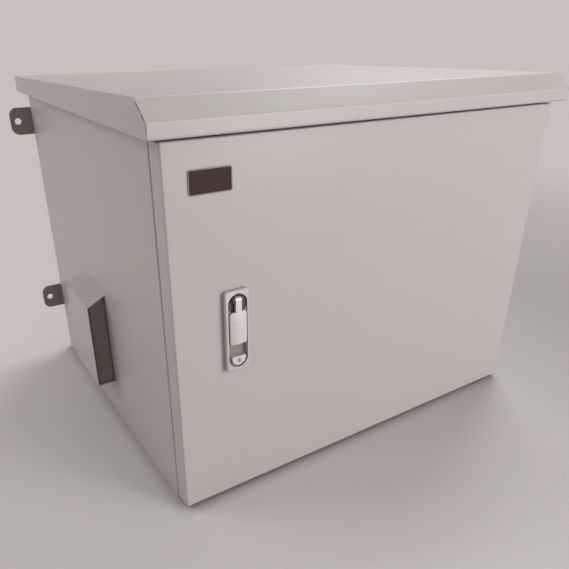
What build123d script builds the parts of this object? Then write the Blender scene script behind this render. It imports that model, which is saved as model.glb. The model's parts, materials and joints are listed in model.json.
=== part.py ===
from build123d import *
import math
import os

# Outdoor cabinet of folded sheet steel with a pitched rain hood, in millimetres.
# X runs across the door, Y from the door to the rear wall and Z up.
# The origin is the middle of the body's base, on the ground.

# Body
width = 600.0
body_depth = 484.0
body_height = 468.0
sheet = 1.5
bend_radius = 1.2
rim_side = 26.0
rim_end = 22.0
seal_reach = 14.0
rear_flange = 18.0
weld_fit = 0.05

# Door
door_return = 24.0
door_gap = 4.0
door_lift = 5.0
door_drop = 13.0
gasket_width = 12.0
gasket_clear = 0.3
stiffener_width = 40.0
stiffener_depth = 9.0
stiffener_end = 45.0
stiffener_spread = 210.0
stiffener_shift = 20.0
stiffener_foot = 10.0
door_fold = 2.5

# Rain hood
hood_side_overhang = 15.0
hood_front_overhang = 12.8
hood_gap = 3.4
hood_lip = 16.2
hood_rise = 19.0
hood_run = 23.5
hood_fall = 13.1
hood_hem = 10.0
hood_seam = 1.8
hood_tail_gap = 2.0
hood_fold = 1.4
boss_radius = 9.0
boss_side_inset = 60.0
boss_end_inset = 72.0
roof_bolt = 8.0

# Vent hoods on both side walls
vent_y = 20.5
vent_low = 64.5
vent_height = 144.5
vent_length = 99.0
vent_reach = 27.0
vent_slope = 14.0
vent_sheet = 1.2
filter_recess = 2.0
filter_clear = 0.6
slot_count = 7
slot_height = 5.0
slot_pitch = 16.0
slot_length = 60.0

# Fan behind the right vent hood
fan_size = 80.0
fan_depth = 25.0
fan_duct_radius = 37.5
fan_corner = 5.0
fan_hole_pitch = 71.5
fan_screw = 4.0
fan_hub_radius = 16.0
fan_tip_clear = 1.5
fan_blades = 7
fan_blade_thick = 1.4
fan_strut = 4.0
fan_axle = 3.0
fan_back_clear = 1.0
fan_strut_lap = 1.0
blade_curve = 22.0
blade_pitch = 36.0
guard_wire = 1.8
guard_rings = 3
guard_lap = 1.0

# Wall ears behind the rear wall
ear_reach = 33.0
ear_height = 41.0
ear_length = 88.0
ear_thick = 3.0
ear_corner = 12.0
ear_hole_radius = 5.0
ear_hole_inset = 11.5
ear_drop = 54.0
ear_lift = 109.0
ear_bolt = 6.0
ear_bolt_near = 52.0
ear_bolt_far = 76.0

# Equipment rails with three holes to each rack unit
unit = 44.45
rail_columns = 465.1
rail_face = 31.0
rail_web = 30.0
rail_sheet = 2.0
rail_hole = 9.5
rail_hole_first = 6.35
rail_hole_step = 15.875
rail_unit_holes = 3
rail_edge = 225.0
rail_front_inset = 62.0
rail_rear_inset = 92.0
carrier_end = 42.0
carrier_leg = 28.0
carrier_inset = 46.0
rail_bolt = 6.0

# Cable entry in the floor
entry_width = 260.0
entry_depth = 100.0
entry_rear_inset = 122.0
plate_border = 16.0
plate_thick = 2.0
plate_gasket = 2.0
grommet_spread = 120.0
grommet_bore = 16.0
grommet_wall = 5.0
grommet_flange = 5.0
grommet_lip = 2.5
grommet_collar = 8.0
grommet_taper = 2.0
plate_screw = 5.0

# Hinges in the gutter of the right side
pivot_inset = 9.0
pivot_behind = 15.0
hinge_pin = 6.0
hinge_barrel = 11.0
hinge_length = 50.0
hinge_leaf = 2.5
hinge_end = 70.0
hinge_play = 0.3
leaf_margin = 1.0
pin_head_step = 1.5
pin_head_thick = 2.0
running = 0.05

# Lock with a lift-and-turn handle
lock_inset = 76.5
lock_rise = 9.5
lock_width = 32.0
lock_height = 102.0
lock_proud = 6.5
lock_corner = 4.5
lock_pad = 0.6
lock_bevel = 1.2
cut_clear = 0.5
cut_corner = 2.0
pad_inset = 0.5
pocket_width = 25.0
pocket_depth = 1.3
pocket_margin = 4.0
recess_depth = 5.5
housing_width = 26.0
housing_depth = 12.0
housing_step = 5.0
handle_width = 22.0
handle_neck = 7.5
neck_lap = 4.0
neck_clear = 0.3
handle_thick = 4.0
handle_seat = 0.3
handle_length = 55.0
handle_eye = 4.0
handle_pivot_up = 5.0
handle_end_round = 3.0
handle_shoulder = 4.5
handle_crown = 2.0
handle_edge = 0.7
shoulder_drop = 9.0
lever_pin = 2.5
rotor_neck = 6.0
rotor_disc = 2.5
rotor_play = 0.3
cheek_thick = 2.5
cheek_radius = 3.2
square = 8.0
tongue_reach = 68.0
tongue_width = 20.0
tongue_thick = 3.0
tongue_clear = 2.5
tongue_round = 3.0
tongue_thread = 5.0
tongue_grip = 10.0
tongue_washer = 1.0
button_margin = 3.0
button_top = 2.0
button_clear = 0.35
button_depth = 9.5
button_proud = 1.2
button_round = 1.0
button_travel = 3.0
well_reach = 4.0
key_radius = 3.5
key_drop = 3.0
key_length = 7.0
key_slit_width = 1.2
key_slit_height = 4.4
key_slit_depth = 2.0
clamp_sheet = 2.0
clamp_width = 44.0
clamp_margin = 2.0
clamp_clear = 1.0
lock_screw = 4.0
lock_screw_spread = 34.0
lock_screw_depth = 8.0

# Nameplate
name_inset = 52.0
name_drop = 41.7
name_width = 50.0
name_height = 26.0
name_thick = 0.9
name_corner = 3.0
name_rim = 1.2
name_recess = 0.45

# Earth studs
stud = 6.0
stud_length = 20.0
body_stud_inset = 100.0
body_stud_rear = 92.0
door_stud_inset = 60.0
door_stud_lift = 60.0
door_stud_length = 12.0

# Fastener proportions as shares of the thread
head_share = 0.65
nut_share = 0.8
flats_share = 1.65
shank_clear = 0.1
blind_clear = 0.5
thread_end = 1.0

# How far a cut runs past the face it opens, and how near counts as touching
past = 1.0
near = 0.01

# Planes and edges that follow from the sizes
half = width / 2
front = -body_depth / 2
back = body_depth / 2
wall = half - sheet
rim_back = front + sheet
door_rear = front - door_gap
door_front = door_rear - door_return
door_inner = door_front + sheet
door_top = body_height - door_drop
door_middle = (door_lift + door_top) / 2
opening_low = door_lift + rim_end
opening_high = door_top - rim_end
opening_side = half - rim_side
seal_edge = front - seal_reach
boss_x = half - boss_side_inset
boss_y = back - boss_end_inset
entry_y = back - entry_rear_inset
lock_x = lock_inset - half
lock_z = door_middle + lock_rise
name_x = name_inset - half
name_z = door_top - name_drop
body_stud_x = body_stud_inset - half
body_stud_y = back - body_stud_rear
door_stud_x = half - door_stud_inset

os.makedirs("parts", exist_ok=True)


def block(low, high):
    """Box between two opposite corners."""
    size = [b - a for a, b in zip(low, high)]
    middle = [(a + b) / 2 for a, b in zip(low, high)]
    return Pos(*middle) * Box(*size)


def rod(radius, start, direction, length):
    """Round bar from the start point along a direction."""
    place = Plane(origin=start, z_dir=direction)
    return place * Cylinder(radius, length, align=(Align.CENTER, Align.CENTER, Align.MIN))


def hexagon(flats, start, direction, length):
    """Hexagonal prism from the start point along a direction."""
    place = Plane(origin=start, z_dir=direction)
    outline = RegularPolygon(radius=flats / 2, side_count=6, major_radius=False)
    return place * extrude(outline, length)


def inset_line(points, distance):
    """Points moved to the right of a line, with mitred corners."""
    line = [Vector(*point) for point in points]
    steps = [(b - a).normalized() for a, b in zip(line, line[1:])]
    sides = [Vector(step.Y, -step.X) for step in steps]
    moved = [line[0] + sides[0] * distance]
    for corner, first, second in zip(line[1:-1], sides, sides[1:]):
        moved.append(corner + (first + second) * (distance / (1 + first.dot(second))))
    moved.append(line[-1] + sides[-1] * distance)
    return moved


def folded(points, thickness):
    """Section of a sheet folded along points that run on its left skin."""
    skin = [Vector(*point) for point in points]
    radii = [0.0]
    other_radii = [0.0]
    for before, corner, after in zip(skin, skin[1:], skin[2:]):
        turns_right = (corner - before).cross(after - corner).Z < 0
        radii.append(bend_radius + thickness if turns_right else bend_radius)
        other_radii.append(bend_radius if turns_right else bend_radius + thickness)
    radii.append(0.0)
    other_radii.append(0.0)
    outline = skin + inset_line(points, thickness)[::-1]
    return make_face(FilletPolyline(*outline, radius=radii + other_radii[::-1], close=True).edges())


def polygon(points):
    """Flat face bounded by straight lines between points."""
    return make_face(Polyline(*points, close=True).edges())


def along_x(face, start, length):
    """Extrusion along X of a section drawn as (Y, Z)."""
    return extrude(Plane.YZ.offset(start) * face, length)


def along_y(face, start, length):
    """Extrusion along Y of a section drawn as (X, Z)."""
    return extrude(Plane.XZ.offset(-start) * face, length, dir=(0, 1, 0))


def mirrored(shape):
    """Copy on the other side of the middle plane between left and right."""
    return mirror(shape, about=Plane.YZ)


def bolt(thread, start, direction, length):
    """Hexagon-head bolt whose head stands behind the start point."""
    back_way = tuple(-part for part in direction)
    head = hexagon(flats_share * thread, start, back_way, head_share * thread)
    return head + rod(thread / 2, start, direction, length)


def nut(thread, start, direction):
    """Hexagon nut that stands on the start point."""
    body = hexagon(flats_share * thread, start, direction, nut_share * thread)
    return body - rod(thread / 2 + shank_clear, start, direction, nut_share * thread)


def save(name, *solids):
    """Write one node, which holds one solid or several like ones."""
    shape = solids[0] if len(solids) == 1 else Compound(children=list(solids))
    export_step(shape, f"parts/{name}.step")


# Body wrap: left wall, rear wall and right wall folded from one sheet.
# Both front edges turn inwards as rims and forwards as seal lips.
ear_columns = [side * (half + ear_reach - distance) for side in (-1, 1)
               for distance in (ear_bolt_near, ear_bolt_far)]
ear_levels = {"lower": ear_lift, "upper": body_height - ear_drop}
vent_high = vent_low + vent_height
vent_middle = (vent_low + vent_high - vent_slope) / 2
middle_slot = (slot_count - 1) / 2
fan_corners = [(vent_y + a * fan_hole_pitch / 2, vent_middle + b * fan_hole_pitch / 2)
               for a in (-1, 1) for b in (-1, 1)]


def make_body_shell():
    left = [(-opening_side, seal_edge), (-opening_side, front), (-half, front), (-half, back)]
    right = [(-x, y) for x, y in reversed(left)]
    shell = extrude(folded(left + right, sheet), body_height)
    for side in (-1, 1):
        edges = sorted((side * opening_side, side * (opening_side - sheet - past)))
        spans = ((-past, opening_low + sheet), (opening_high - sheet, body_height + past))
        for low, high in spans:
            shell -= block((edges[0], seal_edge - past, low), (edges[1], rim_back + past, high))
    for column in ear_columns:
        for level in ear_levels.values():
            place = (column, back + past, level)
            shell -= rod(ear_bolt / 2 + shank_clear, place, (0, -1, 0), sheet + 2 * past)
    for index in range(slot_count):
        height = vent_middle + (index - middle_slot) * slot_pitch
        slot = Pos(vent_y, height) * SlotOverall(slot_length, slot_height)
        shell -= along_x(slot, -half - past, sheet + 2 * past)
    shell -= rod(fan_duct_radius, (wall - past, vent_y, vent_middle), (1, 0, 0), sheet + 2 * past)
    for y, z in fan_corners:
        shell -= rod(fan_screw / 2 + shank_clear, (wall - past, y, z), (1, 0, 0), sheet + 2 * past)
    return shell


save("body_shell", make_body_shell())


# Top panel: a tray welded between the walls.
# Its front edge folds down as the header and forwards as a seal lip.
def trim_corners(panel):
    """Panel cut back at the rims of the side walls and notched at the wrap's folds."""
    notch = bend_radius + weld_fit
    for side in (-1, 1):
        rim = sorted((side * opening_side, side * (half + past)))
        fold = sorted((side * (wall - notch), side * (half + past)))
        panel -= block((rim[0], seal_edge - past, -past), (rim[1], rim_back, body_height + past))
        panel -= block((fold[0], seal_edge - past, -past), (fold[1], rim_back + notch, body_height + past))
        panel -= block((fold[0], back - sheet - notch, -past), (fold[1], back + past, body_height + past))
    return panel


def make_top_panel():
    inside = back - sheet - weld_fit
    points = [(seal_edge, opening_high), (front, opening_high), (front, body_height),
              (inside, body_height), (inside, body_height - rear_flange)]
    reach = wall - weld_fit
    panel = trim_corners(along_x(folded(points, sheet), -reach, 2 * reach))
    for x in (-boss_x, boss_x):
        for y in (-boss_y, boss_y):
            place = (x, y, body_height + past)
            panel -= rod(roof_bolt / 2 + shank_clear, place, (0, 0, -1), sheet + 2 * past)
    return panel


# Bottom panel: the floor of the body, with the cable entry cut in it.
# Its front edge folds up as the sill and forwards as a seal lip.
plate_columns = [-(entry_width + plate_border) / 2, 0, (entry_width + plate_border) / 2]
row_reach = (entry_depth + plate_border) / 2
plate_rows = [entry_y - row_reach, entry_y + row_reach]


def make_bottom_panel():
    inside = back - sheet - weld_fit
    points = [(inside, rear_flange), (inside, 0), (front, 0), (front, opening_low),
              (seal_edge, opening_low)]
    reach = wall - weld_fit
    panel = trim_corners(along_x(folded(points, sheet), -reach, 2 * reach))
    panel -= block((-entry_width / 2, entry_y - entry_depth / 2, -past),
                   (entry_width / 2, entry_y + entry_depth / 2, sheet + past))
    for x in plate_columns:
        for y in plate_rows:
            panel -= rod(plate_screw / 2 + shank_clear, (x, y, -past), (0, 0, 1), sheet + 2 * past)
    return panel


save("top_panel", make_top_panel())
save("bottom_panel", make_bottom_panel())


# Rain hood: one sheet with a pitched top, a chamfered front that ends in a lip, a tail
# at the rear and two side fascias. All lower edges are hemmed, and the corners are open seams.
hood_half = half + hood_side_overhang
hood_front = door_front - hood_front_overhang
hood_low = door_top + hood_gap
hood_crease = hood_low + hood_lip
hood_high = hood_crease + hood_rise
hood_top_front = hood_front + hood_run
hood_rear_high = hood_high - hood_fall
hood_tail_low = body_height + hood_tail_gap
hood_profile = [(hood_front, hood_low), (hood_front, hood_crease), (hood_top_front, hood_high),
                (back, hood_rear_high), (back, hood_low)]


def make_roof_hood():
    skin = [(hood_front + hood_hem, hood_low)] + hood_profile[:-1] + [(back, hood_tail_low)]
    hood = along_x(folded(skin, sheet), -hood_half, 2 * hood_half)
    seam_cut = folded([(hood_front, hood_low - past)] + hood_profile[1:3], sheet + hood_seam)
    fascia = polygon(hood_profile) - seam_cut
    for side in (-1, 1):
        outer = sorted((side * hood_half, side * (hood_half - sheet)))
        gap = sorted((side * (hood_half + past), side * (hood_half - sheet - hood_seam)))
        hem = sorted((side * hood_half, side * (hood_half - hood_hem)))
        hem_start = hood_front + hood_hem + hood_seam
        hood -= block((gap[0], hood_front + sheet, hood_low - past),
                      (gap[1], hem_start, hood_low + sheet + hood_seam / 2))
        hood += along_x(fascia, outer[0], sheet)
        hood += block((hem[0], hem_start, hood_low), (hem[1], back, hood_low + sheet))
    folds = [edge for edge in hood.edges().filter_by(GeomType.LINE)
             if abs(abs(edge.center().X) - hood_half) < near
             and abs(edge.tangent_at(0.5).Y) > abs(edge.tangent_at(0.5).Z)
             and edge.center().Z > hood_rear_high and edge.length > body_depth / 2]
    return fillet(folds, hood_fold)


save("roof_hood", make_roof_hood())


# Hood fixing: threaded bosses welded under the hood, and bolts from inside the body.
def make_roof_fixing():
    under = inset_line(hood_profile, sheet)
    space = along_x(polygon(under), -hood_half, 2 * hood_half)
    bosses = []
    bolts = []
    for x in (-boss_x, boss_x):
        for y in (-boss_y, boss_y):
            boss = rod(boss_radius, (x, y, body_height), (0, 0, 1), hood_high - body_height) & space
            boss -= rod(roof_bolt / 2 + running, (x, y, body_height - past), (0, 0, 1),
                        roof_bolt + blind_clear + past)
            bosses.append(boss)
            bolts.append(bolt(roof_bolt, (x, y, body_height - sheet), (0, 0, 1), sheet + roof_bolt))
    return bosses, bolts


bosses, roof_bolts = make_roof_fixing()
save("roof_bosses", *bosses)
save("roof_bolts", *roof_bolts)


# Vent hoods: folded covers welded to the side walls, sloped on top and open at both ends.
# A pad of dark filter foam fills each one.
vent_profile = [(-half, vent_low), (-half - vent_reach, vent_low),
                (-half - vent_reach, vent_high - vent_slope), (-half, vent_high)]
beside_wall = block((-half - vent_reach - past, vent_y - vent_length, 0),
                    (-half, vent_y + vent_length, body_height))


def make_vent_hood():
    cover = along_y(folded(vent_profile, vent_sheet), vent_y - vent_length / 2, vent_length)
    return cover & beside_wall


def make_vent_filter():
    length = vent_length - 2 * filter_recess
    section = polygon(inset_line(vent_profile, vent_sheet + filter_clear))
    return along_y(section, vent_y - length / 2, length) & beside_wall


vent_hood = make_vent_hood()
vent_filter = make_vent_filter()
save("vent_hood_left", vent_hood)
save("vent_hood_right", mirrored(vent_hood))
save("vent_filter_left", vent_filter)
save("vent_filter_right", mirrored(vent_filter))


# Fan behind the right vent hood: a square frame with a round duct, a bladed rotor
# on a short axle, and a ring guard towards the inside.
fan_face = wall - fan_depth
rotor_start = fan_face + fan_strut + hinge_play
rotor_length = fan_depth - fan_strut - 2 * hinge_play - fan_back_clear


def make_fan_frame():
    frame = block((fan_face, vent_y - fan_size / 2, vent_middle - fan_size / 2),
                  (wall, vent_y + fan_size / 2, vent_middle + fan_size / 2))
    frame = fillet(frame.edges().filter_by(Axis.X), fan_corner)
    through = fan_depth + 2 * past
    frame -= rod(fan_duct_radius, (fan_face - past, vent_y, vent_middle), (1, 0, 0), through)
    for y, z in fan_corners:
        frame -= rod(fan_screw / 2 + shank_clear, (fan_face - past, y, z), (1, 0, 0), through)
    reach = fan_duct_radius + fan_strut_lap
    frame += block((fan_face, vent_y - reach, vent_middle - fan_strut / 2),
                   (fan_face + fan_strut, vent_y + reach, vent_middle + fan_strut / 2))
    frame += block((fan_face, vent_y - fan_strut / 2, vent_middle - reach),
                   (fan_face + fan_strut, vent_y + fan_strut / 2, vent_middle + reach))
    frame += rod(fan_hub_radius, (fan_face, vent_y, vent_middle), (1, 0, 0), fan_strut)
    return frame + rod(fan_axle / 2, (fan_face + fan_strut, vent_y, vent_middle), (1, 0, 0), fan_depth / 2)


def make_fan_rotor():
    tip = fan_duct_radius - fan_tip_clear
    rotor = rod(fan_hub_radius, (rotor_start, vent_y, vent_middle), (1, 0, 0), rotor_length)
    curve = Pos(0, -blade_curve) * (Circle(blade_curve + fan_blade_thick) - Circle(blade_curve))
    section = curve & Rectangle(rotor_length, blade_curve)
    blade = Rot(0, 0, blade_pitch) * extrude(section, tip)
    for index in range(fan_blades):
        middle = Pos(rotor_start + rotor_length / 2, vent_y, vent_middle)
        rotor += middle * Rot(360 * index / fan_blades, 0, 0) * blade
    rotor &= rod(tip, (rotor_start, vent_y, vent_middle), (1, 0, 0), rotor_length)
    axle_hole = rod(fan_axle / 2 + running, (rotor_start - past, vent_y, vent_middle), (1, 0, 0),
                    fan_depth / 2 + past)
    return rotor - axle_hole


def make_fan_guard():
    outer = fan_duct_radius + guard_lap
    flat = Circle(outer) - Circle(outer - guard_wire)
    for index in range(guard_rings):
        radius = (outer - guard_wire) * (index + 1) / (guard_rings + 1)
        flat += Circle(radius + guard_wire / 2) - Circle(radius - guard_wire / 2)
    for turn in (45, 135):
        flat += Rot(0, 0, turn) * Rectangle(fan_hole_pitch * math.sqrt(2), guard_wire)
    eyes = [Pos(a * fan_hole_pitch / 2, b * fan_hole_pitch / 2) for a in (-1, 1) for b in (-1, 1)]
    for eye in eyes:
        flat += eye * Circle(fan_screw)
    for eye in eyes:
        flat -= eye * Circle(fan_screw / 2 + shank_clear)
    place = Plane(origin=(fan_face - guard_wire, vent_y, vent_middle), z_dir=(1, 0, 0))
    return place * extrude(flat, guard_wire)


save("fan_frame", make_fan_frame())
save("fan_rotor", make_fan_rotor())
save("fan_guard", make_fan_guard())
fan_grip = guard_wire + fan_depth + sheet
save("fan_screws", *[bolt(fan_screw, (fan_face - guard_wire, y, z), (1, 0, 0), fan_grip)
                     for y, z in fan_corners])


# Wall ears: flat steel lugs bolted behind the rear wall, with a hole beside each side wall.
def make_ear(level):
    outer = -half - ear_reach
    ear = block((outer, back, level - ear_height / 2),
                (outer + ear_length, back + ear_thick, level + ear_height / 2))
    through = ear_thick + 2 * past
    corners = [edge for edge in ear.edges().filter_by(Axis.Y) if edge.center().X < outer + near]
    ear = fillet(corners, ear_corner)
    ear -= rod(ear_hole_radius, (outer + ear_hole_inset, back - past, level), (0, 1, 0), through)
    for column in (ear_bolt_near, ear_bolt_far):
        ear -= rod(ear_bolt / 2 + shank_clear, (outer + column, back - past, level), (0, 1, 0), through)
    return ear


for name, level in ear_levels.items():
    ear = make_ear(level)
    save(f"wall_ear_{name}_left", ear)
    save(f"wall_ear_{name}_right", mirrored(ear))

ear_grip = sheet + ear_thick
save("ear_bolts", *[bolt(ear_bolt, (x, back - sheet, z), (0, 1, 0), ear_grip)
                    for x in ear_columns for z in ear_levels.values()])


# Equipment rails: upright angles with square holes, as many rack units as the opening takes.
# Channels welded along the side walls carry them.
units = int((opening_high - opening_low) / unit)
rail_height = units * unit
rail_low = (opening_low + opening_high - rail_height) / 2
rail_middle = rail_low + rail_height / 2
rail_outer = rail_edge + rail_face
rail_front = front + rail_front_inset
rail_rear = back - rail_rear_inset
bolt_inset = carrier_inset - carrier_leg / 2
rail_bolt_rows = [rail_low + bolt_inset, rail_low + rail_height - bolt_inset]
rail_bolt_depths = [rail_front + rail_web / 2, rail_rear - rail_web / 2]
carrier_length = body_depth - 2 * carrier_end


def make_front_rail():
    line = [(-rail_edge, rail_front), (-rail_outer, rail_front), (-rail_outer, rail_front + rail_web)]
    rail = Pos(0, 0, rail_low) * extrude(folded(line, rail_sheet), rail_height)
    reach = rail_hole / 2
    column = -rail_columns / 2
    for row in range(units):
        for index in range(rail_unit_holes):
            height = rail_low + row * unit + rail_hole_first + index * rail_hole_step
            rail -= block((column - reach, rail_front - past, height - reach),
                          (column + reach, rail_front + rail_sheet + past, height + reach))
    for height in rail_bolt_rows:
        rail -= rod(rail_bolt / 2 + shank_clear, (-rail_outer - past, rail_bolt_depths[0], height),
                    (1, 0, 0), rail_sheet + 2 * past)
    return rail


def make_carrier():
    """Lower left channel."""
    high = rail_low + carrier_inset
    low = high - carrier_leg
    points = [(-wall, low), (-wall, high), (-rail_outer, high), (-rail_outer, low)]
    carrier = along_y(folded(points, rail_sheet), -carrier_length / 2, carrier_length)
    for depth in rail_bolt_depths:
        carrier -= rod(rail_bolt / 2 + shank_clear, (-rail_outer + past, depth, rail_bolt_rows[0]),
                       (-1, 0, 0), rail_sheet + 2 * past)
    return carrier


front_rail = make_front_rail()
rear_rail = Pos(0, rail_rear + rail_front, 0) * mirror(front_rail, about=Plane.XZ)
carrier = make_carrier()
upper_carrier = mirror(carrier, about=Plane.XY.offset(rail_middle))
save("rack_rail_front_left", front_rail)
save("rack_rail_front_right", mirrored(front_rail))
save("rack_rail_rear_left", rear_rail)
save("rack_rail_rear_right", mirrored(rear_rail))
save("rail_carrier_lower_left", carrier)
save("rail_carrier_lower_right", mirrored(carrier))
save("rail_carrier_upper_left", upper_carrier)
save("rail_carrier_upper_right", mirrored(upper_carrier))

rail_grip = 2 * rail_sheet + nut_share * rail_bolt + thread_end
rail_bolts = [bolt(rail_bolt, (rail_sheet - rail_outer, y, z), (-1, 0, 0), rail_grip)
              for y in rail_bolt_depths for z in rail_bolt_rows]
rail_nuts = [nut(rail_bolt, (-rail_outer - rail_sheet, y, z), (-1, 0, 0))
             for y in rail_bolt_depths for z in rail_bolt_rows]
save("rail_bolts", *rail_bolts, *[mirrored(one) for one in rail_bolts])
save("rail_nuts", *rail_nuts, *[mirrored(one) for one in rail_nuts])


# Cable entry: a plate on a gasket over the opening in the floor, with two grommets.
plate_low = sheet + plate_gasket
plate_high = plate_low + plate_thick
grommet_columns = [-grommet_spread / 2, grommet_spread / 2]


def plate_blank(low, thick):
    """Plate of the cable entry's outer size with its screw holes."""
    plate = block((-entry_width / 2 - plate_border, entry_y - entry_depth / 2 - plate_border, low),
                  (entry_width / 2 + plate_border, entry_y + entry_depth / 2 + plate_border, low + thick))
    for x in plate_columns:
        for y in plate_rows:
            plate -= rod(plate_screw / 2 + shank_clear, (x, y, low - past), (0, 0, 1), thick + 2 * past)
    return plate


def make_gland_plate():
    plate = plate_blank(plate_low, plate_thick)
    for x in grommet_columns:
        plate -= rod(grommet_bore + grommet_wall, (x, entry_y, plate_low - past), (0, 0, 1),
                     plate_thick + 2 * past)
    return plate


def make_gland_gasket():
    return plate_blank(sheet, plate_gasket) - block((-entry_width / 2, entry_y - entry_depth / 2, 0),
                                                    (entry_width / 2, entry_y + entry_depth / 2, plate_high))


def make_grommet(x):
    neck = grommet_bore + grommet_wall - weld_fit
    rim = neck + grommet_flange
    low = plate_low - grommet_lip
    high = plate_high + grommet_lip
    top = high + grommet_collar
    outline = [(grommet_bore, low), (rim, low), (rim, plate_low), (neck, plate_low),
               (neck, plate_high), (rim, plate_high), (rim, high), (neck, high),
               (grommet_bore + grommet_taper, top), (grommet_bore, top)]
    ring = revolve(Plane.XZ * polygon(outline), Axis.Z)
    return Pos(x, entry_y, 0) * ring


save("gland_plate", make_gland_plate())
save("gland_gasket", make_gland_gasket())
save("cable_grommets", *[make_grommet(x) for x in grommet_columns])
save("gland_screws", *[bolt(plate_screw, (x, y, plate_high), (0, 0, -1), plate_high)
                       for x in plate_columns for y in plate_rows])


# Earth studs: welded to the floor and to the door, each with a nut.
body_stud = (body_stud_x, body_stud_y, sheet)
door_stud = (door_stud_x, door_inner, door_stud_lift)
save("body_earth_stud", rod(stud / 2, body_stud, (0, 0, 1), stud_length))
save("body_earth_nut", nut(stud, body_stud, (0, 0, 1)))
save("door_earth_stud", rod(stud / 2, door_stud, (0, 1, 0), door_stud_length))
save("door_earth_nut", nut(stud, door_stud, (0, 1, 0)))


# Hinges: hidden in the gutter between the right wall and the seal lip.
# The fixed leaf is welded to the lip, the door's leaf to the door's return. The fixed leaf's arm
# starts level with the lip's edge, so that it stays clear of the gasket and of the opened door.
pivot_x = half - pivot_inset
pivot_y = door_front + pivot_behind
hinge_inset = hinge_end + hinge_length / 2
hinge_levels = {"lower": door_lift + hinge_inset, "upper": door_top - hinge_inset}
barrel = hinge_barrel / 2
bore = hinge_pin / 2 + running


def make_body_leaf(level):
    low = level - hinge_length / 2
    high = level - hinge_play / 2
    leaf = rod(barrel, (pivot_x, pivot_y, low), (0, 0, 1), high - low)
    leaf += block((opening_side, seal_edge, low), (pivot_x, seal_edge + hinge_leaf, high))
    leaf += block((opening_side, seal_edge, low), (opening_side + hinge_leaf, front - bend_radius, high))
    return leaf - rod(bore, (pivot_x, pivot_y, low - past), (0, 0, 1), hinge_length)


def make_door_leaf(level):
    low = level + hinge_play / 2
    high = level + hinge_length / 2
    leaf = rod(barrel, (pivot_x, pivot_y, low), (0, 0, 1), high - low)
    leaf += block((pivot_x, pivot_y - hinge_leaf / 2, low), (wall, pivot_y + hinge_leaf / 2, high))
    leaf += block((wall - hinge_leaf, door_inner + bend_radius, low), (wall, door_rear - leaf_margin, high))
    return leaf - rod(bore, (pivot_x, pivot_y, low - past), (0, 0, 1), hinge_length)


def make_hinge_pin(level):
    low = level - hinge_length / 2
    pin = rod(hinge_pin / 2, (pivot_x, pivot_y, low), (0, 0, 1), hinge_length)
    return pin + rod(hinge_pin / 2 + pin_head_step, (pivot_x, pivot_y, low), (0, 0, -1), pin_head_thick)


for name, level in hinge_levels.items():
    save(f"hinge_body_leaf_{name}", make_body_leaf(level))
    save(f"hinge_door_leaf_{name}", make_door_leaf(level))
save("hinge_pins", *[make_hinge_pin(level) for level in hinge_levels.values()])


# Door: a pan folded from one sheet, with the lock's cut-out.
lock_face = door_front - lock_proud
housing_rear = door_front + housing_depth
housing_height = lock_height - 2 * housing_step
lock_place = Pos(lock_x, lock_z)
lock_cut = lock_place * RectangleRounded(housing_width + 2 * cut_clear, housing_height + 2 * cut_clear,
                                         cut_corner)


def make_door_panel():
    pan = block((-half, door_front, door_lift), (half, door_rear, door_top))
    front_edges = pan.edges().group_by(Axis.Y)[0]
    pan = fillet(front_edges + pan.edges().filter_by(Axis.Y), door_fold)
    hollow = block((-wall, door_inner, door_lift + sheet), (wall, door_rear + door_fold, door_top - sheet))
    hollow_edges = hollow.edges().group_by(Axis.Y)[0] + hollow.edges().filter_by(Axis.Y)
    pan -= fillet(hollow_edges, door_fold - sheet)
    return pan - along_y(lock_cut, door_front - past, sheet + 2 * past)


# Door stiffeners: hat channels welded inside the door.
def make_stiffener(x):
    foot = door_inner + sheet
    top = door_inner + stiffener_depth
    side = stiffener_width / 2
    points = [(x - side - stiffener_foot, foot), (x - side, foot), (x - side, top),
              (x + side, top), (x + side, foot), (x + side + stiffener_foot, foot)]
    length = door_top - door_lift - 2 * stiffener_end
    return Pos(0, 0, door_lift + stiffener_end) * extrude(folded(points, sheet), length)


# Door gasket: a foamed ring that meets the seal lips round the opening.
def make_door_gasket():
    centre_x = opening_side - sheet / 2
    low = opening_low + sheet / 2
    high = opening_high - sheet / 2
    side = gasket_width / 2
    ring = block((-centre_x - side, door_inner, low - side),
                 (centre_x + side, seal_edge - gasket_clear, high + side))
    ring = fillet(ring.edges().filter_by(Axis.Y), gasket_width)
    return ring - block((side - centre_x, door_inner - past, low + side),
                        (centre_x - side, front, high - side))


save("door_panel", make_door_panel())
save("door_stiffener_lock_side", make_stiffener(stiffener_shift - stiffener_spread / 2))
save("door_stiffener_hinge_side", make_stiffener(stiffener_shift + stiffener_spread / 2))
save("door_gasket", make_door_gasket())


# Nameplate: a thin plate with a raised rim, stuck to the door.
def make_nameplate():
    outline = RectangleRounded(name_width, name_height, name_corner)
    field = RectangleRounded(name_width - 2 * name_rim, name_height - 2 * name_rim, name_corner - name_rim)
    place = Pos(name_x, name_z)
    plate = along_y(place * outline, door_front - name_thick, name_thick)
    return plate - along_y(place * field, door_front - name_thick - past, past + name_recess)


save("nameplate", make_nameplate())


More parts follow.
